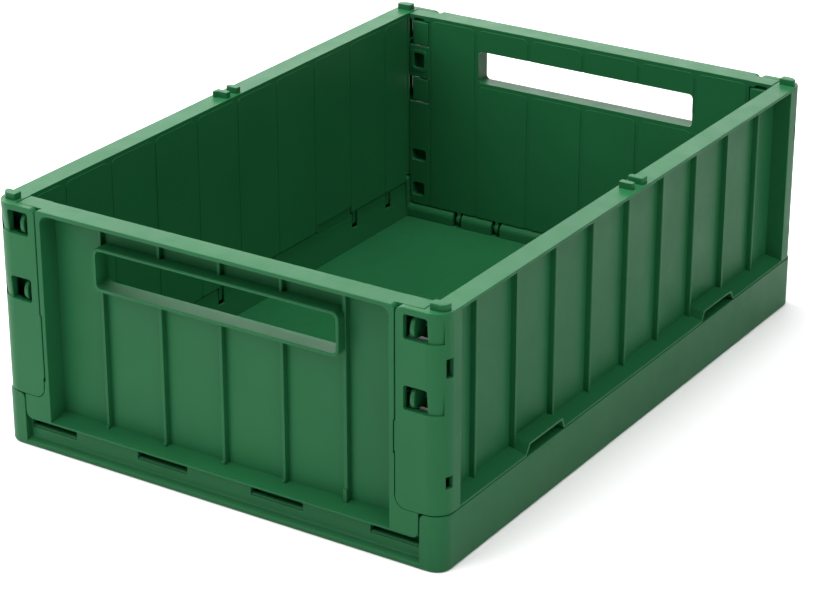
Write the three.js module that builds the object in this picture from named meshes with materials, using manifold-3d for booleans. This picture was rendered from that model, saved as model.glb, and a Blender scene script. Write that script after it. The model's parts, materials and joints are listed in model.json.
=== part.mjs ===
// Collapsible storage crate: a tray base, two long walls and two end walls that fold inwards.
// Millimetres. X is the short direction, -Y the front end, +Z up, origin under the middle of the base.
import * as THREE from "three";
import { mergeVertices } from "three/addons/utils/BufferGeometryUtils.js";
import Module from "manifold-3d";

const wasm = await Module();
wasm.setup();

// Driving dimensions.
const WIDTH = 340;
const LENGTH = 485;
const RIM_Z = 171;
const CORNER_R = 12.5;
const BASE_CORNER_R = 10.5;
const GAP = 0.3;
const EDGE_R = 0.8;

// Base tray.
const FLOOR_Z = 4;
const KERB_Z = 38;
const KERB_STEP_Z = 33.2;
const KERB_STEP_X = 161.5;
const KERB_IN_X = 155.3;
const BLOCK_X = 153.3;
const BLOCK_Y = 222;
const LIP_Z = 3.3;
const LIP_BACK_Z = 5.8;
const FOOT_EDGE = 1.1;
const BAND_Y = 237.5;
const BAND_Z = 20;
const NOTCH_Z = 12;

// Long walls.
const LONG_IN_X = 154;
const LONG_BOTTOM_Z = 33.5;
const SEAM_Z = 38.5;
const FIELD_DEPTH = 13;
const FIELD_Y = 222;
const RIB_HEIGHT = 4;
const RIB_WIDTH = 2.5;
const LONG_RIB_PITCH = 47.5;
const LONG_RIBS = 9;
const FLANGE_X = 136.3;
const FLANGE_R = 7;
const FLANGE_Y = 238;
const LUG = { inner: 156.4, outer: 167.6, height: 4.3 };
// A short tab on each flange steps the seam beside the end wall; its heights differ at the two ends.
const TAB = { width: 0.8, front: [75.5, 96], back: [53, 97.5] };
const tabHeights = (end) => (end < 0 ? TAB.front : TAB.back);

// End walls.
const END_IN_Y = 224.5;
const END_BACK_Y = 237.6;
const END_FRONT_X = 135.5;
const END_SIDE_X = 153.5;
const FOOT_X = 152.5;
const END_BOTTOM_Z = 20.5;
const END_INNER_BOTTOM_Z = 15.6;
const END_STEP_Y = 232.1;
const END_FIELD_X = 131.8;
const END_FIELD_DEPTH = 15;
const END_RIB_PITCH = 46.5;
const HANDLE = { x: 93.5, z0: 124, z1: 154, y: 238.5, wall: 2.4 };

// Hinges: the long walls turn about Y and the end walls about X.
const LONG_AXIS = { x: 158, z: 30.5 };
// Behind each finger notch the kerb is higher, on an arc about the long wall's hinge.
const RISER = { y0: 98.6, y1: 143.2, radius: 8.4 };
const END_AXIS = { y: 227.5, z: 9.5 };
const END_KNUCKLE_R = 5.6;
const LONG_PIN_R = 1.4;
const END_PIN_R = 1.9;
const LONG_KNUCKLES = [[-197, -150], [-23, 23], [150, 197]];
const END_KNUCKLE = [77, 104];
const LONG_SLOT = 7;
const END_SLOT = 8;

// Snap latches, by the height of their middle.
const LATCHES = [["upper", 156.5], ["lower", 110.5]];
const LATCH = { height: 19, thick: 3, inner: 136, outer: 150.6, nose: [145.8, 149] };
const WINDOW = { x0: 142, x1: 158.5, height: 16, above: 2.5, ramp: 1.3 };

// Closed solids from three.js geometries.
function solid(geometry) {
  const bare = new THREE.BufferGeometry();
  const source = geometry.index ? geometry.toNonIndexed() : geometry;
  bare.setAttribute("position", source.getAttribute("position"));
  const merged = mergeVertices(bare, 1e-4);
  return new wasm.Manifold(new wasm.Mesh({
    numProp: 3,
    vertProperties: merged.attributes.position.array,
    triVerts: new Uint32Array(merged.index.array),
  }));
}

// A polygon from [u, v, radius] corners, each rounded by its own radius.
function outline(corners, segments = 4) {
  const points = [];
  corners.forEach(([u, v, radius = 0], i) => {
    const here = new THREE.Vector2(u, v);
    const before = corners[(i + corners.length - 1) % corners.length];
    const after = corners[(i + 1) % corners.length];
    const a = new THREE.Vector2(before[0], before[1]).sub(here).normalize();
    const b = new THREE.Vector2(after[0], after[1]).sub(here).normalize();
    const half = Math.acos(THREE.MathUtils.clamp(a.dot(b), -1, 1)) / 2;
    if (radius <= 0 || half > Math.PI / 2 - 0.01) {
      points.push(here);
      return;
    }
    const centre = a.clone().add(b).normalize().multiplyScalar(radius / Math.sin(half)).add(here);
    const reach = radius / Math.tan(half);
    const start = a.clone().multiplyScalar(reach).add(here).sub(centre);
    const finish = b.clone().multiplyScalar(reach).add(here).sub(centre);
    const from = Math.atan2(start.y, start.x);
    let turn = Math.atan2(finish.y, finish.x) - from;
    if (turn > Math.PI) turn -= 2 * Math.PI;
    if (turn < -Math.PI) turn += 2 * Math.PI;
    for (let k = 0; k <= segments; k++) {
      const angle = from + turn * k / segments;
      points.push(new THREE.Vector2(Math.cos(angle), Math.sin(angle)).multiplyScalar(radius).add(centre));
    }
  });
  return new THREE.Shape(points);
}

function extrude(corners, depth, segments) {
  return new THREE.ExtrudeGeometry(outline(corners, segments), { depth, bevelEnabled: false, steps: 1 });
}

// Corners are (x, y) pairs.
function prismZ(corners, z0, z1, segments) {
  return solid(extrude(corners, z1 - z0, segments).translate(0, 0, z0));
}

// Corners are (x, z) pairs.
function prismY(corners, y0, y1, segments) {
  return solid(extrude(corners, y1 - y0, segments).rotateX(Math.PI / 2).translate(0, y1, 0));
}

// Corners are (y, z) pairs.
function prismX(corners, x0, x1, segments) {
  const turn = new THREE.Matrix4().makeBasis(
    new THREE.Vector3(0, 1, 0), new THREE.Vector3(0, 0, 1), new THREE.Vector3(1, 0, 0));
  return solid(extrude(corners, x1 - x0, segments).applyMatrix4(turn).translate(x0, 0, 0));
}

function box(x0, x1, y0, y1, z0, z1) {
  const geometry = new THREE.BoxGeometry(Math.abs(x1 - x0), Math.abs(y1 - y0), Math.abs(z1 - z0));
  return solid(geometry.translate((x0 + x1) / 2, (y0 + y1) / 2, (z0 + z1) / 2));
}

function rodX(radius, x0, x1, y, z, sides = 12) {
  const geometry = new THREE.CylinderGeometry(radius, radius, x1 - x0, sides);
  return solid(geometry.rotateZ(Math.PI / 2).translate((x0 + x1) / 2, y, z));
}

function rodY(radius, x, y0, y1, z, sides = 12) {
  return solid(new THREE.CylinderGeometry(radius, radius, y1 - y0, sides).translate(x, (y0 + y1) / 2, z));
}

const join = (first, ...rest) => rest.reduce((sum, piece) => sum.add(piece), first);

// Rectangles with rounded corners, as corner lists.
const rectangle = (u0, u1, v0, v1, r = 0) => [[u0, v0, r], [u1, v0, r], [u1, v1, r], [u0, v1, r]];
const mirrored = (corners, sign) => corners.map(([u, v, r]) => [u * sign, v, r]);
const SIDES = [-1, 1];
const ascending = (a, b) => (a < b ? [a, b] : [b, a]);

// The outline of the crate from above, moved in by an inset.
const footprint = (inset, radius = CORNER_R) =>
  rectangle(-WIDTH / 2 + inset, WIDTH / 2 - inset, -LENGTH / 2 + inset, LENGTH / 2 - inset, radius - inset);

// A core with the outline of the crate: one inset at its lower end, another from a given height up.
function taperedCore(low, high, z0, z1, top, radius) {
  const foot = prismZ(footprint(low, radius), z0, z0 + 0.01, 6);
  return wasm.Manifold.hull([foot, prismZ(footprint(high, radius), z1, top, 6)]);
}

// The space that the corner of an end wall passes through beside a flange, moved in by a gap.
function cornerSweep(end, gap) {
  const steps = 6;
  const station = (k) => {
    const angle = Math.PI / 2 * k / steps;
    const x = FLANGE_X + FLANGE_R - (FLANGE_R + gap) * Math.cos(angle);
    const z = SEAM_Z + FLANGE_R - (FLANGE_R + gap) * Math.sin(angle);
    return { x, radius: Math.hypot(LENGTH / 2 - END_AXIS.y, z - END_AXIS.z) };
  };
  const first = station(0);
  const rings = [rodX(first.radius, FLANGE_X - 3, first.x, end * END_AXIS.y, END_AXIS.z, 64)];
  for (let k = 0; k < steps; k++) {
    const from = station(k);
    const to = station(k + 1);
    const ring = new THREE.CylinderGeometry(from.radius, to.radius, to.x - from.x, 64).rotateZ(Math.PI / 2);
    rings.push(solid(ring.translate((from.x + to.x) / 2, end * END_AXIS.y, END_AXIS.z)));
  }
  return join(...rings);
}

// Base tray ---------------------------------------------------------------------------------
// The kerbs are drawn a little too far down and out, and the tray's own core trims them.
function longKerb(side) {
  const profile = [
    [WIDTH / 2 + 1, -1], [WIDTH / 2 + 1, KERB_Z], [KERB_STEP_X, KERB_Z], [KERB_STEP_X, KERB_STEP_Z],
    [KERB_IN_X, KERB_STEP_Z, 4.6], [KERB_IN_X, 22], [153.7, 6], [153.1, -1],
  ];
  const hollow = [[168.2, -2], [168.2, 35.4], [163.8, 35.4], [163.8, 26.5], [157.6, 26.5, 2], [156, 10],
    [156, -2]];
  let kerb = prismY(mirrored(profile, side), -BLOCK_Y, BLOCK_Y);
  const ends = SIDES.map((end) => {
    const [y0, y1] = ascending(end * (BLOCK_Y - 1), end * (LENGTH / 2 + 1));
    const block = mirrored(
      [[WIDTH / 2 + 1, -1], [WIDTH / 2 + 1, KERB_Z], [BLOCK_X, KERB_Z, 4], [BLOCK_X, -1]], side);
    return prismY(block, y0, y1);
  });
  const risers = SIDES.map((end) => {
    const [y0, y1] = ascending(end * RISER.y0, end * RISER.y1);
    const [x0, x1] = ascending(side * KERB_IN_X, side * (KERB_STEP_X + 1));
    return rodY(RISER.radius, side * LONG_AXIS.x, y0, y1, LONG_AXIS.z, 32)
      .intersect(box(x0, x1, y0, y1, LONG_AXIS.z, KERB_Z + 2));
  });
  kerb = join(kerb, ...ends, ...risers);
  const webs = [-240.9, ...[-4, -3, -2, -1, 1, 2, 3, 4].map((k) => k * LONG_RIB_PITCH), 240.9];
  const core = prismZ(footprint(1.8, BASE_CORNER_R), -2, KERB_Z, 6);
  for (let i = 0; i + 1 < webs.length; i++) {
    const cell = prismY(mirrored(hollow, side), webs[i] + 1, webs[i + 1] - 1, 2);
    const last = i === 0 || i + 2 === webs.length;
    kerb = kerb.subtract(last ? cell.intersect(core) : cell);
  }
  return kerb;
}

function cutLongHinges(tray, side) {
  for (const [y0, y1] of LONG_KNUCKLES) {
    for (const y of [y0, y1]) {
      const [x0, x1] = ascending(side * 150, side * 163.9);
      tray = tray.subtract(box(x0, x1, y - LONG_SLOT / 2, y + LONG_SLOT / 2, 19, KERB_STEP_Z + 1));
    }
    const bore = rodY(LONG_PIN_R + GAP, side * LONG_AXIS.x, y0, y1, LONG_AXIS.z);
    tray = tray.subtract(bore);
  }
  return tray;
}

function endKerb(end) {
  const profile = [
    [LENGTH / 2, -1], [LENGTH / 2, LIP_Z, 1.4], [BAND_Y, LIP_BACK_Z, 2], [BAND_Y, BAND_Z, EDGE_R], [232.7, BAND_Z],
    [232.7, END_AXIS.z + END_KNUCKLE_R], [END_AXIS.y - END_KNUCKLE_R, END_AXIS.z + END_KNUCKLE_R, END_KNUCKLE_R],
    [END_AXIS.y - END_KNUCKLE_R, -1],
  ];
  const hollow = [[239.8, -2], [239.8, 2.4], [235.3, 4.2], [235.3, 9.4], [224.6, 9.4, 2], [224.6, -2]];
  let kerb = prismX(mirrored(profile, end), -BLOCK_X - 1, BLOCK_X + 1);
  for (const [x0, x1] of [[-150, -113], [-66, -2], [2, 66], [113, 150]]) {
    kerb = kerb.subtract(prismX(mirrored(hollow, end), x0, x1, 2));
  }
  for (const side of SIDES) {
    for (const [x0, x1] of [[25, 64.5], [115, 152]]) {
      const [a, b] = ascending(side * x0, side * x1);
      const [y0, y1] = ascending(end * 230.5, end * (BAND_Y + 1));
      kerb = kerb.subtract(box(a, b, y0, y1, NOTCH_Z, BAND_Z + 1));
      kerb = kerb.add(rodX(2, a - 0.5, b + 0.5, end * 235, NOTCH_Z - 0.4));
    }
    const [k0, k1] = ascending(side * END_KNUCKLE[0], side * END_KNUCKLE[1]);
    for (const [s0, s1] of [[k0 - END_SLOT, k0], [k1, k1 + END_SLOT]]) {
      const [y0, y1] = ascending(end * 216, end * 234);
      kerb = kerb.subtract(box(s0, s1, y0, y1, FLOOR_Z - 0.6, BAND_Z + 1));
    }
    kerb = kerb.subtract(rodX(END_PIN_R + GAP, k0 - 1, k1 + 1, end * END_AXIS.y, END_AXIS.z));
  }
  return kerb;
}

function baseTray() {
  let tray = box(-154.6, 154.6, -223, 223, -1, FLOOR_Z);
  for (const side of SIDES) tray = tray.add(longKerb(side));
  for (const end of SIDES) tray = tray.add(endKerb(end));
  tray = tray.intersect(taperedCore(FOOT_EDGE, 0, 0, FOOT_EDGE, KERB_Z + 1, BASE_CORNER_R));
  for (const side of SIDES) tray = cutLongHinges(tray, side);
  // Shallow pockets under the floor leave a grid of ribs and a solid pad in the middle.
  const columns = [[-148, -78], [-74, -30], [30, 74], [78, 148]];
  const rows = [[-214, -146], [-142, -74], [-70, -4], [4, 70], [74, 142], [146, 214]];
  for (const [x0, x1] of columns) {
    for (const [y0, y1] of rows) tray = tray.subtract(box(x0, x1, y0, y1, -1, 1.4));
  }
  for (const [y0, y1] of [rows[0], rows[1], rows[4], rows[5]]) {
    tray = tray.subtract(box(-26, 26, y0, y1, -1, 1.4));
  }
  return tray;
}

// Long wall, drawn on the right; the left one is the same part turned round -----------------
function notchOutline(raise, spread) {
  return [[96.8 - spread, 30], [96.8 - spread, SEAM_Z], [99.8 - spread, 45.2 + raise, 1.5],
    [139 + spread, 45.2 + raise, 1.5], [144 + spread, SEAM_Z], [144 + spread, 30]];
}

function longWallShell() {
  const plan = [[LONG_IN_X, -LENGTH / 2], [WIDTH / 2, -LENGTH / 2, CORNER_R], [WIDTH / 2, LENGTH / 2, CORNER_R],
    [LONG_IN_X, LENGTH / 2]];
  let wall = prismZ(plan, SEAM_Z, RIM_Z, 6);
  const strip = BLOCK_Y - 1 - GAP;
  wall = wall.add(box(LONG_IN_X, KERB_STEP_X - GAP, -strip, strip, LONG_BOTTOM_Z, SEAM_Z + 1));
  const field = WIDTH / 2 - FIELD_DEPTH;
  const recess = [[WIDTH / 2 + 1, SEAM_Z + 1.2], [field, 42.2], [field, 167.4], [WIDTH / 2 + 1, 169]];
  wall = wall.subtract(prismY(recess, -FIELD_Y, FIELD_Y));
  const half = (LONG_RIBS - 1) / 2;
  for (let k = -half; k <= half; k++) {
    const y = k * LONG_RIB_PITCH;
    wall = wall.add(box(field - 1, field + RIB_HEIGHT, y - RIB_WIDTH / 2, y + RIB_WIDTH / 2, 41, 168.5));
  }
  for (const end of SIDES) {
    const plate = [[FLANGE_X, SEAM_Z], [FLANGE_X, RIM_Z, 4.5], [LONG_IN_X + 2, RIM_Z], [LONG_IN_X + 2, SEAM_Z]];
    const [y0, y1] = ascending(end * FLANGE_Y, end * LENGTH / 2);
    const tab = box(FLANGE_X - TAB.width, FLANGE_X + 1, y0, y1, ...tabHeights(end));
    wall = join(wall, prismY(plate, y0, y1).subtract(cornerSweep(end, 0)), tab);
    // The ledge rises over each finger notch in the bottom edge.
    const hump = prismX(mirrored(notchOutline(1.6, 1.4), end), field - 1, WIDTH / 2);
    wall = wall.add(hump.intersect(box(field - 1, WIDTH / 2, -FIELD_Y, FIELD_Y, SEAM_Z, 60)));
    wall = wall.subtract(prismX(mirrored(notchOutline(0, 0), end), KERB_STEP_X - GAP, WIDTH / 2 + 1));
    const [n0, n1] = ascending(end * (RISER.y0 - 0.6), end * (RISER.y1 + 0.6));
    wall = wall.subtract(rodY(RISER.radius + 0.5, LONG_AXIS.x, n0, n1, LONG_AXIS.z, 32));
  }
  return wall;
}

function cutCornerPost(wall, end) {
  // Hollow behind the windows, in three cells.
  const core = prismZ(footprint(2.8), SEAM_Z, RIM_Z, 6);
  for (const [z0, z1] of [[44, 98], [101, 146.5], [149.5, 167.5]]) {
    const [y0, y1] = ascending(end * 226.5, end * 236.4);
    wall = wall.subtract(box(LONG_IN_X - 1, 166.8, y0, y1, z0, z1).intersect(core));
  }
  for (const [, middle] of LATCHES) {
    const z0 = middle + WINDOW.above - WINDOW.height / 2;
    const z1 = z0 + WINDOW.height;
    const [y0, y1] = ascending(end * 236, end * (LENGTH / 2 + 1));
    wall = wall.subtract(prismY(rectangle(WINDOW.x0, WINDOW.x1, z0, z1, 1.6), y0, y1));
    // A thumb ramp round the corner beside the window, deepest at its lower edge.
    const [r0, r1] = ascending(end * (LENGTH / 2 - CORNER_R), end * (LENGTH / 2 + 1));
    const ramp = box(WINDOW.x1 - 0.8, WIDTH / 2 - 2.5, r0, r1, z0, z1);
    wall = wall.subtract(ramp.subtract(taperedCore(WINDOW.ramp, 0, z0, z1, z1 + 1)));
  }
  for (const [z0, z1] of [[129, 141.5], [56, 64]]) {
    const [y0, y1] = ascending(end * 231, end * 236.4);
    wall = wall.subtract(box(163, WIDTH / 2 + 1, y0, y1, z0, z1));
  }
  // Room for the foot of the end wall to swing up past the flange.
  const sweep = rodX(32.5, LONG_IN_X - 25, LONG_IN_X, end * END_AXIS.y, END_AXIS.z, 64);
  return wall.subtract(sweep);
}

function longWallHinges(wall) {
  for (const [y0, y1] of LONG_KNUCKLES) {
    for (const y of [y0, y1]) {
      const arm = [[156.2, 36], [156.2, 21, 1.4], [160.2, 21, 1.4], [160.2, 26], [161, 29], [161, 36]];
      const width = 3.6;
      wall = wall.add(prismY(arm, y - width / 2, y + width / 2, 3));
      wall = wall.subtract(rodY(LONG_PIN_R + GAP, LONG_AXIS.x, y - width, y + width, LONG_AXIS.z));
    }
  }
  return wall;
}

// Stacking lugs on the rim: one at each corner and a pair at mid-length.
function rimLugs() {
  const { inner, outer } = LUG;
  const corner = (end) => prismZ(
    [[inner, end * 236.6, EDGE_R], [outer - 3.4, end * 236.6, 3], [outer, end * 233.2, 3],
      [outer, end * 229.6, EDGE_R], [inner, end * 229.6, EDGE_R]], RIM_Z - 1, RIM_Z + LUG.height, 3);
  const short = [[inner, -8.5, EDGE_R], [outer - 1, -8.1, 2], [outer - 1, -3.9, 2], [inner, -3.5, EDGE_R]];
  const hooked = [[inner, 3.5, EDGE_R], [outer, 3.5, 1.4], [outer, 10.6, 1.2], [outer - 2.2, 10.6, 1],
    [outer - 4.2, 8.5, 1], [inner, 8.5, EDGE_R]];
  const bars = [short, hooked].map((plan) => prismZ(plan, RIM_Z - 1, RIM_Z + LUG.height, 3));
  return [corner(-1), corner(1), ...bars];
}

function longWall() {
  let wall = longWallShell();
  for (const end of SIDES) wall = cutCornerPost(wall, end);
  return join(longWallHinges(wall), ...rimLugs());
}

// End wall, drawn at the front; the back one is the same part turned round ------------------
function endWallShell() {
  const front = -LENGTH / 2;
  const inner = -END_IN_Y;
  const face = [[-END_FRONT_X, END_BOTTOM_Z], [END_FRONT_X, END_BOTTOM_Z], [END_FRONT_X, RIM_Z, 3],
    [-END_FRONT_X, RIM_Z, 3]];
  let wall = prismY(face, front, inner);
  for (const side of SIDES) {
    const [z0, z1] = tabHeights(-side);
    const [x0, x1] = ascending(side * (END_FRONT_X - TAB.width), side * (END_FRONT_X + 1));
    // The stile below the tab rises a little as the wall starts to fold.
    const rise = (LENGTH / 2 - END_BACK_Y) * (LENGTH / 2 - END_AXIS.y) / (z0 - END_AXIS.z);
    wall = wall.subtract(box(x0, x1, front - 1, -END_BACK_Y, z0 - rise - GAP, z1 + GAP));
  }
  wall = wall.add(box(-END_SIDE_X, END_SIDE_X, -END_BACK_Y, inner, SEAM_Z + GAP, RIM_Z));
  const lower = [[-FOOT_X, END_INNER_BOTTOM_Z, 5], [FOOT_X, END_INNER_BOTTOM_Z, 5], [FOOT_X, SEAM_Z + 2],
    [-FOOT_X, SEAM_Z + 2]];
  wall = wall.add(prismY(lower, -END_STEP_Y, inner));
  // The feet beside the corner blocks: their tops follow an arc about the hinge.
  const arc = rodX(32.2, -FOOT_X, FOOT_X, -END_AXIS.y, END_AXIS.z, 64);
  for (const side of SIDES) {
    const plan = [[END_FRONT_X - 1, END_BOTTOM_Z], [FOOT_X, END_BOTTOM_Z, 4.5], [FOOT_X, SEAM_Z + 4],
      [END_FRONT_X - 1, SEAM_Z + 4]];
    const foot = prismY(mirrored(plan, side), front, inner);
    // A fillet that fills the rounded lower corner of the flange.
    const fillet = box(END_FRONT_X - 1, FLANGE_X + FLANGE_R, front, -END_BACK_Y, SEAM_Z - 1, SEAM_Z + FLANGE_R)
      .intersect(cornerSweep(-1, 0.6));
    wall = join(wall, foot.intersect(arc), side < 0 ? fillet.mirror([1, 0, 0]) : fillet);
  }
  const panel = front + END_FIELD_DEPTH;
  const recess = [[front - 1, 21.8], [panel, 24.4], [panel, 167.2], [front - 1, 169]];
  const window = [[-END_FIELD_X, 20], [END_FIELD_X, 20], [END_FIELD_X, 168.2, 6], [-END_FIELD_X, 168.2, 6]];
  wall = wall.subtract(prismX(recess, -END_FIELD_X, END_FIELD_X).intersect(prismY(window, front - 1, panel)));
  for (let k = -2; k <= 2; k++) {
    const x = k * END_RIB_PITCH;
    const rib = box(x - RIB_WIDTH / 2, x + RIB_WIDTH / 2, panel - RIB_HEIGHT, panel + 1, 23.5, 168);
    const top = k === 2 ? 33 : 26;
    const heel = box(x - RIB_WIDTH / 2 - 0.5, x + RIB_WIDTH / 2, panel - RIB_HEIGHT - 1, panel + 1, 22.6, top);
    wall = join(wall, rib, heel);
  }
  return wall;
}

function addHandle(wall) {
  const { x, z0, z1, y, wall: thick } = HANDLE;
  const tube = prismY(rectangle(-x, x, z0, z1, 5), -y, -END_IN_Y - 1);
  const opening = rectangle(-x + thick, x - thick, z0 + thick, z1 - thick, 3.2);
  return wall.add(tube).subtract(prismY(opening, -LENGTH / 2 - 1, -END_IN_Y + 1));
}

function cutEndSides(wall) {
  for (const side of SIDES) {
    for (const [, middle] of LATCHES) {
      const [x0, x1] = ascending(side * (LATCH.inner - GAP), side * (END_SIDE_X + 1));
      const reach = LATCH.height / 2 + 0.8;
      wall = wall.subtract(box(x0, x1, -END_BACK_Y - 1, -END_IN_Y + 1, middle - reach, middle + reach));
    }
    // A blind slot above the upper latch.
    const [s0, s1] = ascending(side * 140, side * 149.8);
    const slot = prismY(rectangle(s0, s1, 164, 168.3, 1.6), -END_BACK_Y + 2.6, -END_IN_Y + 1, 3);
    wall = wall.subtract(slot);
    const cells = [[138.5, 150.2, 127.5, 141.5], [138.5, 150.8, 52, 60.5], [140, 150.5, 22.5, 33]];
    for (const [a, b, z0, z1] of cells) {
      const [x0, x1] = ascending(side * a, side * b);
      wall = wall.subtract(prismY(rectangle(x0, x1, z0, z1, 1.6), -END_STEP_Y + 0.6, -END_IN_Y + 1));
    }
  }
  return wall;
}

function endWallHinges(wall) {
  const width = 3;
  for (const side of SIDES) {
    for (const middle of [END_KNUCKLE[0] - 4.3, END_KNUCKLE[1] + 3.5]) {
      const x = side * middle;
      const reach = -END_AXIS.y;
      const neck = box(x - width / 2, x + width / 2, reach - 4, reach + 3, END_AXIS.z, END_INNER_BOTTOM_Z + 2);
      wall = join(wall, neck, rodX(4.9, x - width / 2, x + width / 2, reach, END_AXIS.z, 20));
      wall = wall.subtract(rodX(END_PIN_R + GAP, x - width, x + width, reach, END_AXIS.z));
    }
  }
  return wall;
}

function endWall() {
  return endWallHinges(cutEndSides(addHandle(endWallShell())));
}

// Snap latch of an end wall: a flat tongue with a rounded nose that enters a post window ----
function latch(side, middle) {
  const z0 = middle - LATCH.height / 2;
  const z1 = middle + LATCH.height / 2;
  const [x0, x1] = ascending(side * LATCH.inner, side * LATCH.outer);
  const tongue = box(x0, x1, -END_IN_Y - LATCH.thick, -END_IN_Y, z0, z1);
  const [n0, n1] = ascending(side * LATCH.nose[0], side * LATCH.nose[1]);
  const root = -END_IN_Y - LATCH.thick + 0.5;
  const nose = [[root, middle - 6], [root, middle + 8], [-241.4, middle + 8, 6], [-241.4, middle - 6, 6]];
  const web = box(x0, x1, root - 2.5, root, middle - 1.5, middle + 1.5);
  return join(tongue, prismX(nose, n0, n1, 5), web);
}

// Hinge pins --------------------------------------------------------------------------------
function longPin([y0, y1]) {
  return rodY(LONG_PIN_R, LONG_AXIS.x, y0 - 2.2, y1 + 2.2, LONG_AXIS.z);
}

function endPin(side) {
  const [x0, x1] = ascending(side * (END_KNUCKLE[0] - 6.6), side * (END_KNUCKLE[1] + 5.8));
  return rodX(END_PIN_R, x0, x1, -END_AXIS.y, END_AXIS.z);
}

// Scene graph -------------------------------------------------------------------------------
const crate = new THREE.Group();

function green(colour, roughness) {
  return new THREE.MeshStandardMaterial({ color: colour, roughness, metalness: 0 });
}

function addMesh(parent, name, body, material) {
  const data = body.getMesh();
  const geometry = new THREE.BufferGeometry();
  geometry.setAttribute("position", new THREE.BufferAttribute(new Float32Array(data.vertProperties), 3));
  geometry.setIndex(new THREE.BufferAttribute(new Uint32Array(data.triVerts), 1));
  geometry.computeVertexNormals();
  const mesh = new THREE.Mesh(geometry, material);
  mesh.name = name;
  parent.add(mesh);
}

const HALF_TURN = Math.PI;

addMesh(crate, "base_tray", baseTray(), green(0x2c6b42, 0.5));

const longBody = longWall();
for (const [name, turn] of [["right", 0], ["left", HALF_TURN]]) {
  const group = new THREE.Group();
  group.rotation.z = turn;
  crate.add(group);
  addMesh(group, name + "_wall", longBody, green(0x2f7047, 0.48));
  LONG_KNUCKLES.forEach((knuckle, i) => {
    addMesh(group, name + "_wall_pin_" + (i + 1), longPin(knuckle), green(0x2a6640, 0.5));
  });
}

const endBody = endWall();
for (const [name, turn] of [["front", 0], ["back", HALF_TURN]]) {
  const group = new THREE.Group();
  group.rotation.z = turn;
  crate.add(group);
  addMesh(group, name + "_wall", endBody, green(0x2f7047, 0.48));
  for (const [hand, side] of [["left", -1], ["right", 1]]) {
    addMesh(group, name + "_wall_pin_" + hand, endPin(side), green(0x2a6640, 0.5));
    for (const [level, middle] of LATCHES) {
      addMesh(group, name + "_latch_" + hand + "_" + level, latch(side, middle), green(0x317349, 0.48));
    }
  }
}

export default crate;
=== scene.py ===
"""Looks of the collapsible storage crate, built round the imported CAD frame. Details are given in mm."""
import json
import math

import bmesh
import bpy
import numpy as np
from mathutils import Matrix, Vector
from mathutils.bvhtree import BVHTree
from mathutils.kdtree import KDTree

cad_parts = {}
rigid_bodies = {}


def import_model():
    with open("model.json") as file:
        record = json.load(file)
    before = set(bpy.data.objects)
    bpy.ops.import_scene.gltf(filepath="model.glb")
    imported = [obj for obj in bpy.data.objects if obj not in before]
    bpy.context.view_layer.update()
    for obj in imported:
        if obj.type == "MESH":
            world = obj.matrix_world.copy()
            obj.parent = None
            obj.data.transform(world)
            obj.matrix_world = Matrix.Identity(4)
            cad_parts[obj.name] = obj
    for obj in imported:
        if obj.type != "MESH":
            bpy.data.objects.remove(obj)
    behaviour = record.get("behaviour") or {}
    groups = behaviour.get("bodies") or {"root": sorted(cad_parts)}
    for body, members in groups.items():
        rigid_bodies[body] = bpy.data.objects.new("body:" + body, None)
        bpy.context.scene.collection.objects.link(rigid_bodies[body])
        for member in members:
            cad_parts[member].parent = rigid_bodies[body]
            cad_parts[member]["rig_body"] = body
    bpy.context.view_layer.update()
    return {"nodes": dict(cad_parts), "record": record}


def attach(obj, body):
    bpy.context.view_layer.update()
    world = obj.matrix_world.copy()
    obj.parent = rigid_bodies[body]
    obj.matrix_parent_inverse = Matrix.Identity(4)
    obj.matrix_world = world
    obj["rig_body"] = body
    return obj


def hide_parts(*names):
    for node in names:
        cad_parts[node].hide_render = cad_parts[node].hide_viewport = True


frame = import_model()

MM = 0.001
HALF_TURN = Matrix.Rotation(math.pi, 4, "Z")

# Camera: angles in degrees, lengths in mm. Right and up shift the object in the view.
CAMERA = {"azimuth": 32.73, "elevation": 23.97, "distance": 1896.6, "right": 8.74, "up": -46.78,
          "lens": 119.2}
CAMERA_RANGE_METRES = 50

# Softboxes, in metres and watts: place, target, size and power.
SOFTBOXES = {
    "overhead": ((0.1, -0.1, 2.4), (0, 0, 0.1), (1.3, 1.3), 50),
    "left": ((-2.0, 0.2, 1.5), (0, 0, 0.1), (1.6, 1.6), 98),
    "front": ((-0.9, -2.3, 1.2), (0, 0, 0.1), (1.6, 1.6), 16),
    "front_high": ((-1.0, -1.8, 2.0), (0, 0, 0.1), (1.5, 1.5), 28),
    "right_high": ((1.7, -0.6, 1.8), (0, 0, 0.1), (1.5, 1.5), 28),
    "back_strip": ((-1.3, 2.0, 0.75), (0, 0, 0.15), (2.6, 1.0), 38),
}
WORLD_STRENGTH = 0.15

# The pale floor, in mm.
FLOOR = {"left": -4000, "right": 4000, "front": -4000, "back": 6000, "thick": 2}
FLOOR_PALENESS = 0.88
FLOOR_ROUGHNESS = 0.9

# Details are drawn on the front and right walls, and the other two walls are turned half round for it.
END_FACE_Y = -224.5
LONG_FACE_X = 154
ABOVE_WALLS_Z = 175
TOOL_PAST = 1

# Moulded panels on the inner faces: the step between the levels, half the gap between two, and the corner.
# The places between the lines are the panels, and the sunk area is a little larger than all of them.
PANEL_STEP = 0.45
PANEL_GAP = 1.5
PANEL_CORNER = 4.5
PANEL_TOP_Z = 168.2
END_LINES = [-133.4, -93, -46.5, 0, 46.5, 93, 133.4]
END_SUNK = {"half": 134.9, "low": 12}
END_PANEL_LOW_Z = 10
LONG_LINES = [-222, -190, -142.5, -95, -47.5, 0, 47.5, 95, 142.5, 190, 222]
LONG_SUNK = {"half": 223.4, "low": 30}
LONG_PANEL_LOW_Z = 28

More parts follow.
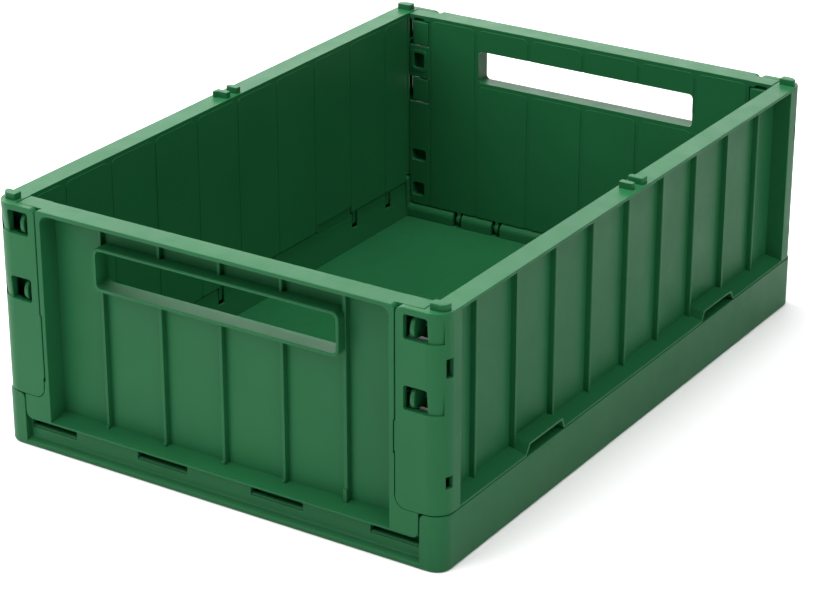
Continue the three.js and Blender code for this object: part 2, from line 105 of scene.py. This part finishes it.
# The hand slot's collar divides the panels near it into a lower one and an upper one, which starts inside it.
SLOT_HALF = 93.5
SLOT_LOW_Z = 123.2
SLOT_INSIDE_Z = 138

# A low frame round the opening between two latches.
FRAME = {"near": 137.3, "far": 151.4, "low": 126, "top": 143, "radius": 3}
FRAME_RIM = 2.4
FRAME_HOLE_RADIUS = 2
FRAME_HOLE_DEPTH = 7
FRAME_HEIGHT = 0.7

# A web behind the top of an upper latch, which closes its slot.
WEB = {"near": 136.5, "far": 152.8, "back": -231.2, "front": -229.2, "low": 164.6, "top": 169.4}

# Outer edges sharper than this angle get a moulded radius, in mm, where their faces have room for it.
SHARP_ANGLE = math.radians(32)
EDGE_RADIUS = 0.6
HANDLE_RADIUS = 1.1
LATCH_RADIUS = 1.2
ROOM_SHARE = 0.45

# The hand slot's edges, on the collar and at the inner face, and a latch's edges at the inner face.
HANDLE_HALF = 94
HANDLE_LOW_Z, HANDLE_TOP_Z = 123.5, 154.5
HANDLE_OUT_Y, HANDLE_IN_Y = -237.6, -225
LATCH_IN_Y = -228

# Corners closer than this, in mm, are one, and so are faces that lean less than this from each other.
SAME_PLACE = 0.02
SAME_FACE = math.radians(0.6)

# The room across a face is measured at these shares of an edge, with some slack for rounding errors.
MEASURED_SHARES = (0.1, 0.3, 0.5, 0.7, 0.9)
STEEP_SINE = 0.5
FAR_METRES = 1.0
NO_LENGTH = 1e-9
NO_REACH = 1e-7
NO_SLOPE = 1e-12
END_SLACK = 1e-6

# Where the faces of a rounding turn over or stray from the surface, it is halved, and later left out. The
# last two values are shares of the largest radius in the piece.
ROUNDING_SEGMENTS = 2
ROUNDING_MARK = 1
ROUNDING_ATTEMPTS = 10
HALVING_ATTEMPTS = 4
TINY_SQUARE_METRES = 1e-8
TURNED_COSINE = -0.3
STRAY_SHARE = 1.5
NEAR_SHARE = 2

# Shading runs smoothly over faces that lean less than this from each other.
SMOOTH_COSINE = math.cos(math.radians(50))

# Noise in the plastic: cells in a metre, levels of detail, and their roughness. Most of its values lie in the
# middle range, which is spread over what each noise drives.
PIGMENT_NOISE = (14, 3, 0.5)
SPECKLE_NOISE = (2400, 1, 0.5)
# The next noise breaks the painted highlight along rounded edges into patches.
PAINTED_HIGHLIGHT_NOISE = (90, 4, 0.6)
GLOSS_NOISE = (60, 4, 0.6)
GRAIN_NOISE = (1500, 2, 0.6)
WAVE_NOISE = (22, 1, 0.5)
MIDDLE_RANGE = (0.3, 0.7)
PIGMENT_DRIFT = 0.06
SPECKLE_SHARE = 0.12
# Shares of the pale colour in the painted highlight along rounded edges.
PAINTED_HIGHLIGHT_SHARES = (0.1, 0.5)
GLOSS_DROP, GLOSS_RISE = 0.04, 0.05

# Bumps: strength, and height in metres.
GRAIN_BUMP = (0.35, 0.00004)
WAVE_BUMP = (0.4, 0.0006)
PLASTIC_IOR = 1.49
PLASTIC_SPECULAR = 0.12


# Closed meshes in mm ---------------------------------------------------------------------------
def prism(plane, points, low, high):
    """A closed prism: points are pairs in the plane XY, XZ or YZ, low and high lie along the third axis."""
    mesh = bmesh.new()
    place = {
        "XY": lambda u, v, w: (u, v, w),
        "XZ": lambda u, v, w: (u, w, v),
        "YZ": lambda u, v, w: (w, u, v),
    }[plane]
    rings = [[mesh.verts.new(Vector(place(u, v, w)) * MM) for u, v in points] for w in sorted((low, high))]
    mesh.faces.new(rings[0])
    mesh.faces.new(rings[1])
    for i in range(len(points)):
        j = (i + 1) % len(points)
        mesh.faces.new([rings[0][i], rings[0][j], rings[1][j], rings[1][i]])
    bmesh.ops.recalc_face_normals(mesh, faces=mesh.faces)
    return to_mesh(mesh)


def block(x0, x1, y0, y1, z0, z1):
    return prism("XY", [(x0, y0), (x1, y0), (x1, y1), (x0, y1)], z0, z1)


def rounded_rectangle(u0, u1, v0, v1, radius, steps=4):
    """Corner points of a rectangle with rounded corners, anticlockwise."""
    corners = [(u1 - radius, v0 + radius, -90), (u1 - radius, v1 - radius, 0), (u0 + radius, v1 - radius, 90),
               (u0 + radius, v0 + radius, 180)]
    points = []
    for u, v, start in corners:
        for k in range(steps + 1):
            angle = math.radians(start + 90 * k / steps)
            points.append((u + radius * math.cos(angle), v + radius * math.sin(angle)))
    return points


def panel(u0, u1, v0, v1, radius, steps=5):
    """Corner points of a panel with its two upper corners rounded, anticlockwise."""
    points = [(u0, v0), (u1, v0)]
    for u, start in ((u1 - radius, 0), (u0 + radius, 90)):
        for k in range(steps + 1):
            angle = math.radians(start + 90 * k / steps)
            points.append((u + radius * math.cos(angle), v1 - radius + radius * math.sin(angle)))
    return points


def to_mesh(source):
    data = bpy.data.meshes.new("work")
    source.to_mesh(data)
    source.free()
    return data


def evaluated(data, kind, settings):
    """The mesh after one modifier."""
    work = bpy.data.objects.new("work", data)
    bpy.context.scene.collection.objects.link(work)
    modifier = work.modifiers.new(kind, kind)
    for name, value in settings.items():
        setattr(modifier, name, value)
    made = bpy.data.meshes.new_from_object(work.evaluated_get(bpy.context.evaluated_depsgraph_get()))
    bpy.data.objects.remove(work)
    return made


def combined(data, tool, operation):
    other = bpy.data.objects.new("tool", tool)
    bpy.context.scene.collection.objects.link(other)
    made = evaluated(data, "BOOLEAN", {"operation": operation, "solver": "MANIFOLD", "object": other})
    bpy.data.objects.remove(other)
    return made


def cut(data, *tools):
    for tool in tools:
        data = combined(data, tool, "DIFFERENCE")
    return data


def add(data, *tools):
    for tool in tools:
        data = combined(data, tool, "UNION")
    return data


def turned(data, matrix):
    data.transform(matrix)
    return data


# Rounding ----------------------------------------------------------------------------------------
def merged(data):
    """The mesh with its flat faces whole and no split corners."""
    mesh = bmesh.new()
    mesh.from_mesh(data)
    bmesh.ops.remove_doubles(mesh, verts=mesh.verts, dist=SAME_PLACE * MM)
    bmesh.ops.dissolve_degenerate(mesh, edges=mesh.edges, dist=SAME_PLACE * MM)
    bmesh.ops.dissolve_limit(mesh, angle_limit=SAME_FACE, verts=mesh.verts, edges=mesh.edges)
    return mesh


def space_across(face, wanted):
    """For each wanted edge of a flat face, the distance across the face to its next edge, in metres."""
    axis_u = (face.loops[1].vert.co - face.loops[0].vert.co).normalized()
    axis_v = face.normal.cross(axis_u)
    start = np.array([(corner.vert.co.dot(axis_u), corner.vert.co.dot(axis_v)) for corner in face.loops])
    side = np.roll(start, -1, axis=0) - start
    length = np.maximum(np.hypot(side[:, 0], side[:, 1]), NO_LENGTH)
    space = {}
    for i, corner in enumerate(face.loops):
        if corner.edge not in wanted:
            continue
        along = side[i] / length[i]
        inward = np.array([-along[1], along[0]])
        slope = inward[0] * side[:, 1] - inward[1] * side[:, 0]
        slope[np.abs(slope) < NO_SLOPE] = np.inf
        least = FAR_METRES
        for share in MEASURED_SHARES:
            away = start - (start[i] + side[i] * share)
            reach = (away[:, 0] * side[:, 1] - away[:, 1] * side[:, 0]) / slope
            place = (away[:, 0] * inward[1] - away[:, 1] * inward[0]) / slope
            hit = (reach > NO_REACH) & (place > -END_SLACK) & (place < 1 + END_SLACK)
            hit[i] = False
            if hit.any():
                least = min(least, reach[hit].min())
        for j in (i - 1, (i + 1) % len(start)):
            if abs(side[j][0] * along[1] - side[j][1] * along[0]) > STEEP_SINE * length[j]:
                least = min(least, length[j])
        space[corner.edge] = least
    return space


def turned_over(made, surface, reach):
    """Corners of the triangles that face the wrong way or lie off the surface that was rounded."""
    made.calc_loop_triangles()
    corners = []
    for triangle in made.loop_triangles:
        if triangle.area > TINY_SQUARE_METRES:
            points = [made.vertices[i].co for i in triangle.vertices]
            _, normal, _, distance = surface.find_nearest(sum(points, Vector()) / 3)
            if normal.dot(triangle.normal) < TURNED_COSINE or distance > reach:
                corners += points
    return corners


def edge_radius(name, place):
    """The moulded radius of an outer edge, in mm, from the place of its middle in mm."""
    x, y, z = place
    if name in ("front_wall", "back_wall"):
        round_slot = abs(x) < HANDLE_HALF and HANDLE_LOW_Z < z < HANDLE_TOP_Z
        return HANDLE_RADIUS if round_slot and not HANDLE_OUT_Y <= y <= HANDLE_IN_Y else EDGE_RADIUS
    return LATCH_RADIUS if "latch" in name and y > LATCH_IN_Y else EDGE_RADIUS


def rounded(data, name):
    """The mesh with its outer edges rounded as a mould rounds them, and the rounding marked for a painted
    highlight.
    """
    mesh = merged(data)
    surface = BVHTree.FromBMesh(mesh)
    weight = mesh.edges.layers.float.new("bevel_weight_edge")
    sharp = {edge for edge in mesh.edges
             if len(edge.link_faces) == 2 and edge.calc_face_angle_signed(0) > SHARP_ANGLE}
    wanted = {edge: edge_radius(name, (edge.verts[0].co + edge.verts[1].co) / 2 / MM) for edge in sharp}
    largest = max(wanted.values(), default=EDGE_RADIUS)
    radius = largest * MM
    for edge in sharp:
        edge[weight] = wanted[edge] / largest
    for face in mesh.faces:
        for edge, space in space_across(face, sharp).items():
            edge[weight] = min(edge[weight], space * ROOM_SHARE / radius)

    # A rounding that runs into its neighbour turns faces over, so it is made smaller until none are.
    for attempt in range(ROUNDING_ATTEMPTS):
        made = evaluated(to_mesh(mesh.copy()), "BEVEL", {
            "width": radius, "segments": ROUNDING_SEGMENTS, "limit_method": "WEIGHT",
            "use_clamp_overlap": False, "material": ROUNDING_MARK, "loop_slide": True})
        corners = turned_over(made, surface, STRAY_SHARE * radius)
        if not corners:
            break
        tree = KDTree(len(corners))
        for index, point in enumerate(corners):
            tree.insert(point, index)
        tree.balance()
        for edge in sharp:
            if min(tree.find(vertex.co)[2] for vertex in edge.verts) < NEAR_SHARE * radius:
                edge[weight] *= 0.5 if attempt < HALVING_ATTEMPTS else 0.0
    else:
        made = to_mesh(mesh.copy())
    mesh.free()

    # Painted highlight: vertices inside a rounding get a paler colour, strongest along the middle of each
    # rounded edge.
    painted_highlight = np.ones(len(made.vertices))
    for face in made.polygons:
        if face.material_index != ROUNDING_MARK:
            painted_highlight[list(face.vertices)] = 0.0
        face.material_index = 0
        face.use_smooth = True
    made.attributes.new("painted_edge_highlight", "FLOAT", "POINT").data.foreach_set("value", painted_highlight)
    return made


def even_normals(data):
    """Shading normals: at each corner, the mean by area of the faces there that lean little from this one."""
    around = [[] for vertex in data.vertices]
    for face in data.polygons:
        for index in face.vertices:
            around[index].append(face.index)
    area = [face.area for face in data.polygons]
    facing = [face.normal.copy() for face in data.polygons]
    normals = []
    for face in data.polygons:
        for index in face.vertices:
            near = [k for k in around[index] if facing[k].dot(facing[face.index]) > SMOOTH_COSINE]
            normals.append(sum((facing[k] * area[k] for k in near), Vector()).normalized())
    data.normals_split_custom_set(normals)


# Materials -------------------------------------------------------------------------------------
def nodes_of(material):
    material.use_nodes = True
    tree = material.node_tree
    tree.nodes.clear()
    return tree


def plastic(name, colour, light, roughness):
    """Satin moulded plastic: fine grain, slow waves from cooling, uneven gloss and a painted highlight along
    rounded edges.
    """
    material = bpy.data.materials.new(name)
    tree = nodes_of(material)
    node = tree.nodes.new
    link = tree.links.new
    place = node("ShaderNodeTexCoord").outputs["Object"]

    def noise(scale, detail, rough):
        made = node("ShaderNodeTexNoise")
        made.inputs["Scale"].default_value = scale
        made.inputs["Detail"].default_value = detail
        made.inputs["Roughness"].default_value = rough
        link(place, made.inputs["Vector"])
        return made.outputs["Fac"]

    def ramped(value, low, high):
        made = node("ShaderNodeMapRange")
        made.inputs["From Min"].default_value, made.inputs["From Max"].default_value = MIDDLE_RANGE
        made.inputs["To Min"].default_value = low
        made.inputs["To Max"].default_value = high
        link(value, made.inputs["Value"])
        return made.outputs["Result"]

    def mixed(factor, a, b):
        made = node("ShaderNodeMix")
        made.data_type = "RGBA"
        link(factor, made.inputs["Factor"])
        for socket, value in ((made.inputs["A"], a), (made.inputs["B"], b)):
            if isinstance(value, tuple):
                socket.default_value = (*value, 1)
            else:
                link(value, socket)
        return made.outputs["Result"]

    def bump(shape, strength, height):
        made = node("ShaderNodeBump")
        made.inputs["Strength"].default_value = strength
        made.inputs["Distance"].default_value = height
        link(shape, made.inputs["Height"])
        return made

    shader = node("ShaderNodeBsdfPrincipled")
    shader.inputs["IOR"].default_value = PLASTIC_IOR
    shader.inputs["Specular IOR Level"].default_value = PLASTIC_SPECULAR

    # Colour: slow drift in the pigment, fine speckle, and a painted highlight that makes rounded edges paler
    # in patches.
    darker, paler = (tuple(c * share for c in colour) for share in (1 - PIGMENT_DRIFT, 1 + PIGMENT_DRIFT))
    drift = mixed(ramped(noise(*PIGMENT_NOISE), 0, 1), darker, paler)
    speckle = mixed(ramped(noise(*SPECKLE_NOISE), 0, SPECKLE_SHARE), drift, light)
    # The paler colour on the rounded edges, in noisy patches, is a painted highlight.
    highlight_attribute = node("ShaderNodeAttribute")
    highlight_attribute.attribute_name = "painted_edge_highlight"
    highlight_share = node("ShaderNodeMath")
    highlight_share.operation = "MULTIPLY"
    link(highlight_attribute.outputs["Fac"], highlight_share.inputs[0])
    link(ramped(noise(*PAINTED_HIGHLIGHT_NOISE), *PAINTED_HIGHLIGHT_SHARES), highlight_share.inputs[1])
    link(mixed(highlight_share.outputs[0], speckle, light), shader.inputs["Base Color"])

    # Gloss: uneven, in patches of about 2 cm.
    gloss = ramped(noise(*GLOSS_NOISE), roughness - GLOSS_DROP, roughness + GLOSS_RISE)
    link(gloss, shader.inputs["Roughness"])

    # Grain of the mould, and the slow waves of the cooled wall.
    grain = bump(noise(*GRAIN_NOISE), *GRAIN_BUMP)
    waves = bump(noise(*WAVE_NOISE), *WAVE_BUMP)
    link(waves.outputs["Normal"], grain.inputs["Normal"])
    link(grain.outputs["Normal"], shader.inputs["Normal"])
    link(shader.outputs["BSDF"], node("ShaderNodeOutputMaterial").inputs["Surface"])
    return material


def floor_material():
    material = bpy.data.materials.new("studio_floor")
    tree = nodes_of(material)
    shader = tree.nodes.new("ShaderNodeBsdfPrincipled")
    shader.inputs["Roughness"].default_value = FLOOR_ROUGHNESS
    shader.inputs["Specular IOR Level"].default_value = 0.0
    shader.inputs["Base Color"].default_value = (FLOOR_PALENESS, FLOOR_PALENESS, FLOOR_PALENESS, 1)
    tree.links.new(shader.outputs["BSDF"], tree.nodes.new("ShaderNodeOutputMaterial").inputs["Surface"])
    return material


TRAY_GREEN = (0.0071, 0.081, 0.0252)
WALL_GREEN = (0.0073, 0.085, 0.0265)
PALE_GREEN = (0.06, 0.24, 0.12)
FINISHES = {
    "tray_plastic": plastic("tray_plastic", TRAY_GREEN, PALE_GREEN, roughness=0.46),
    "wall_plastic": plastic("wall_plastic", WALL_GREEN, PALE_GREEN, roughness=0.46),
    "latch_plastic": plastic("latch_plastic", WALL_GREEN, PALE_GREEN, roughness=0.42),
    "pin_plastic": plastic("pin_plastic", TRAY_GREEN, PALE_GREEN, roughness=0.40),
}


# Pieces ------------------------------------------------------------------------------------------
def end_pad(left, right, low, top):
    """A tool the size of one panel of an end wall."""
    outline = panel(left, right, low, top, PANEL_CORNER)
    return prism("XZ", outline, END_FACE_Y - TOOL_PAST, END_FACE_Y + 2 * TOOL_PAST)


def end_wall_panels(data):
    """Shallow moulded panels on the inner face of an end wall, with the face between them sunk a little."""
    half, low = END_SUNK["half"], END_SUNK["low"]
    sunk = block(-half, half, END_FACE_Y - PANEL_STEP, END_FACE_Y + TOOL_PAST, low, ABOVE_WALLS_Z)
    pads = []
    for left, right in zip(END_LINES, END_LINES[1:]):
        u0 = left + (PANEL_GAP if left > END_LINES[0] else 0)
        u1 = right - (PANEL_GAP if right < END_LINES[-1] else 0)
        if abs(left + right) / 2 < SLOT_HALF:
            pads.append(end_pad(u0, u1, SLOT_INSIDE_Z, PANEL_TOP_Z))
            pads.append(end_pad(u0, u1, END_PANEL_LOW_Z, SLOT_LOW_Z))
        else:
            pads.append(end_pad(u0, u1, END_PANEL_LOW_Z, PANEL_TOP_Z))
    return cut(data, cut(sunk, *pads))


def frame_on_end_wall(data, x0, x1):
    """A low frame round the opening between two latches."""
    low, top = FRAME["low"], FRAME["top"]
    outside = rounded_rectangle(x0, x1, low, top, FRAME["radius"])
    x0, x1, low, top = x0 + FRAME_RIM, x1 - FRAME_RIM, low + FRAME_RIM, top - FRAME_RIM
    inside = rounded_rectangle(x0, x1, low, top, FRAME_HOLE_RADIUS)
    plate = prism("XZ", outside, END_FACE_Y - TOOL_PAST, END_FACE_Y + FRAME_HEIGHT)
    hole = prism("XZ", inside, END_FACE_Y - FRAME_HOLE_DEPTH, END_FACE_Y + 2 * TOOL_PAST)
    return cut(add(data, plate), hole)


def both_sides(sizes):
    """The x values between which a detail lies on the left side, and those on the right side."""
    return (-sizes["far"], -sizes["near"]), (sizes["near"], sizes["far"])


def end_wall_details(data):
    """An end wall with its panels, its two frames and the webs behind its upper latches."""
    data = end_wall_panels(data)
    for x0, x1 in both_sides(FRAME):
        data = frame_on_end_wall(data, x0, x1)
    for x0, x1 in both_sides(WEB):
        data = add(data, block(x0, x1, WEB["back"], WEB["front"], WEB["low"], WEB["top"]))
    return data


def long_wall_panels(data):
    """The same panels on the inner face of a long wall."""
    half, low = LONG_SUNK["half"], LONG_SUNK["low"]
    sunk = block(LONG_FACE_X - TOOL_PAST, LONG_FACE_X + PANEL_STEP, -half, half, low, ABOVE_WALLS_Z)
    pads = []
    for left, right in zip(LONG_LINES, LONG_LINES[1:]):
        outline = panel(left + PANEL_GAP, right - PANEL_GAP, LONG_PANEL_LOW_Z, PANEL_TOP_Z, PANEL_CORNER)
        pads.append(prism("YZ", outline, LONG_FACE_X - 2 * TOOL_PAST, LONG_FACE_X + TOOL_PAST))
    return cut(data, cut(sunk, *pads))


DETAILS = {"front_wall": end_wall_details, "back_wall": end_wall_details,
           "left_wall": long_wall_panels, "right_wall": long_wall_panels}


def make_piece(name, node, slot):
    """The visual piece that stands for a CAD node."""
    far = name.startswith(("left_wall", "back_wall"))
    data = node.data.copy()
    if far:
        data = turned(data, HALF_TURN)
    if name in DETAILS:
        data = DETAILS[name](to_mesh(merged(data)))
    data = rounded(data, name)
    if far:
        data = turned(data, HALF_TURN)
    even_normals(data)
    data.materials.clear()
    data.materials.append(FINISHES[slot])
    piece = bpy.data.objects.new(name + "_moulding", data)
    bpy.context.scene.collection.objects.link(piece)
    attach(piece, node["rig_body"])
    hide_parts(name)


SLOTS = {part["node"]: part["material_slot"] for part in frame["record"]["subparts"]}
for node_name, node_object in frame["nodes"].items():
    make_piece(node_name, node_object, SLOTS[node_name])


# Stage -------------------------------------------------------------------------------------------
def add_floor():
    data = block(FLOOR["left"], FLOOR["right"], FLOOR["front"], FLOOR["back"], -FLOOR["thick"], 0)
    data.materials.append(floor_material())
    floor = bpy.data.objects.new("floor", data)
    bpy.context.scene.collection.objects.link(floor)


def add_softbox(name, place, target, size, power):
    light = bpy.data.lights.new(name, "AREA")
    light.shape = "RECTANGLE"
    light.size, light.size_y = size
    light.energy = power
    lamp = bpy.data.objects.new(name, light)
    lamp.location = place
    lamp.rotation_euler = (Vector(target) - Vector(place)).to_track_quat("-Z", "Y").to_euler()
    bpy.context.scene.collection.objects.link(lamp)


def add_world(strength):
    world = bpy.data.worlds.new("studio")
    world.use_nodes = True
    background = world.node_tree.nodes["Background"]
    background.inputs["Color"].default_value = (1, 1, 1, 1)
    background.inputs["Strength"].default_value = strength
    bpy.context.scene.world = world


def add_camera():
    azimuth, elevation = math.radians(CAMERA["azimuth"]), math.radians(CAMERA["elevation"])
    back = Vector((math.sin(azimuth) * math.cos(elevation), -math.cos(azimuth) * math.cos(elevation),
                   math.sin(elevation)))
    right = (-back).cross(Vector((0, 0, 1))).normalized()
    up = right.cross(-back)
    lens = bpy.data.cameras.new("camera")
    lens.lens = CAMERA["lens"]
    lens.clip_end = CAMERA_RANGE_METRES
    camera = bpy.data.objects.new("camera", lens)
    camera.location = (back * CAMERA["distance"] - right * CAMERA["right"] - up * CAMERA["up"]) * MM
    camera.rotation_euler = (-back).to_track_quat("-Z", "Y").to_euler()
    bpy.context.scene.collection.objects.link(camera)
    bpy.context.scene.camera = camera


add_floor()
add_world(WORLD_STRENGTH)
for softbox, settings in SOFTBOXES.items():
    add_softbox(softbox, *settings)
add_camera()
bpy.context.scene.view_settings.view_transform = "Standard"
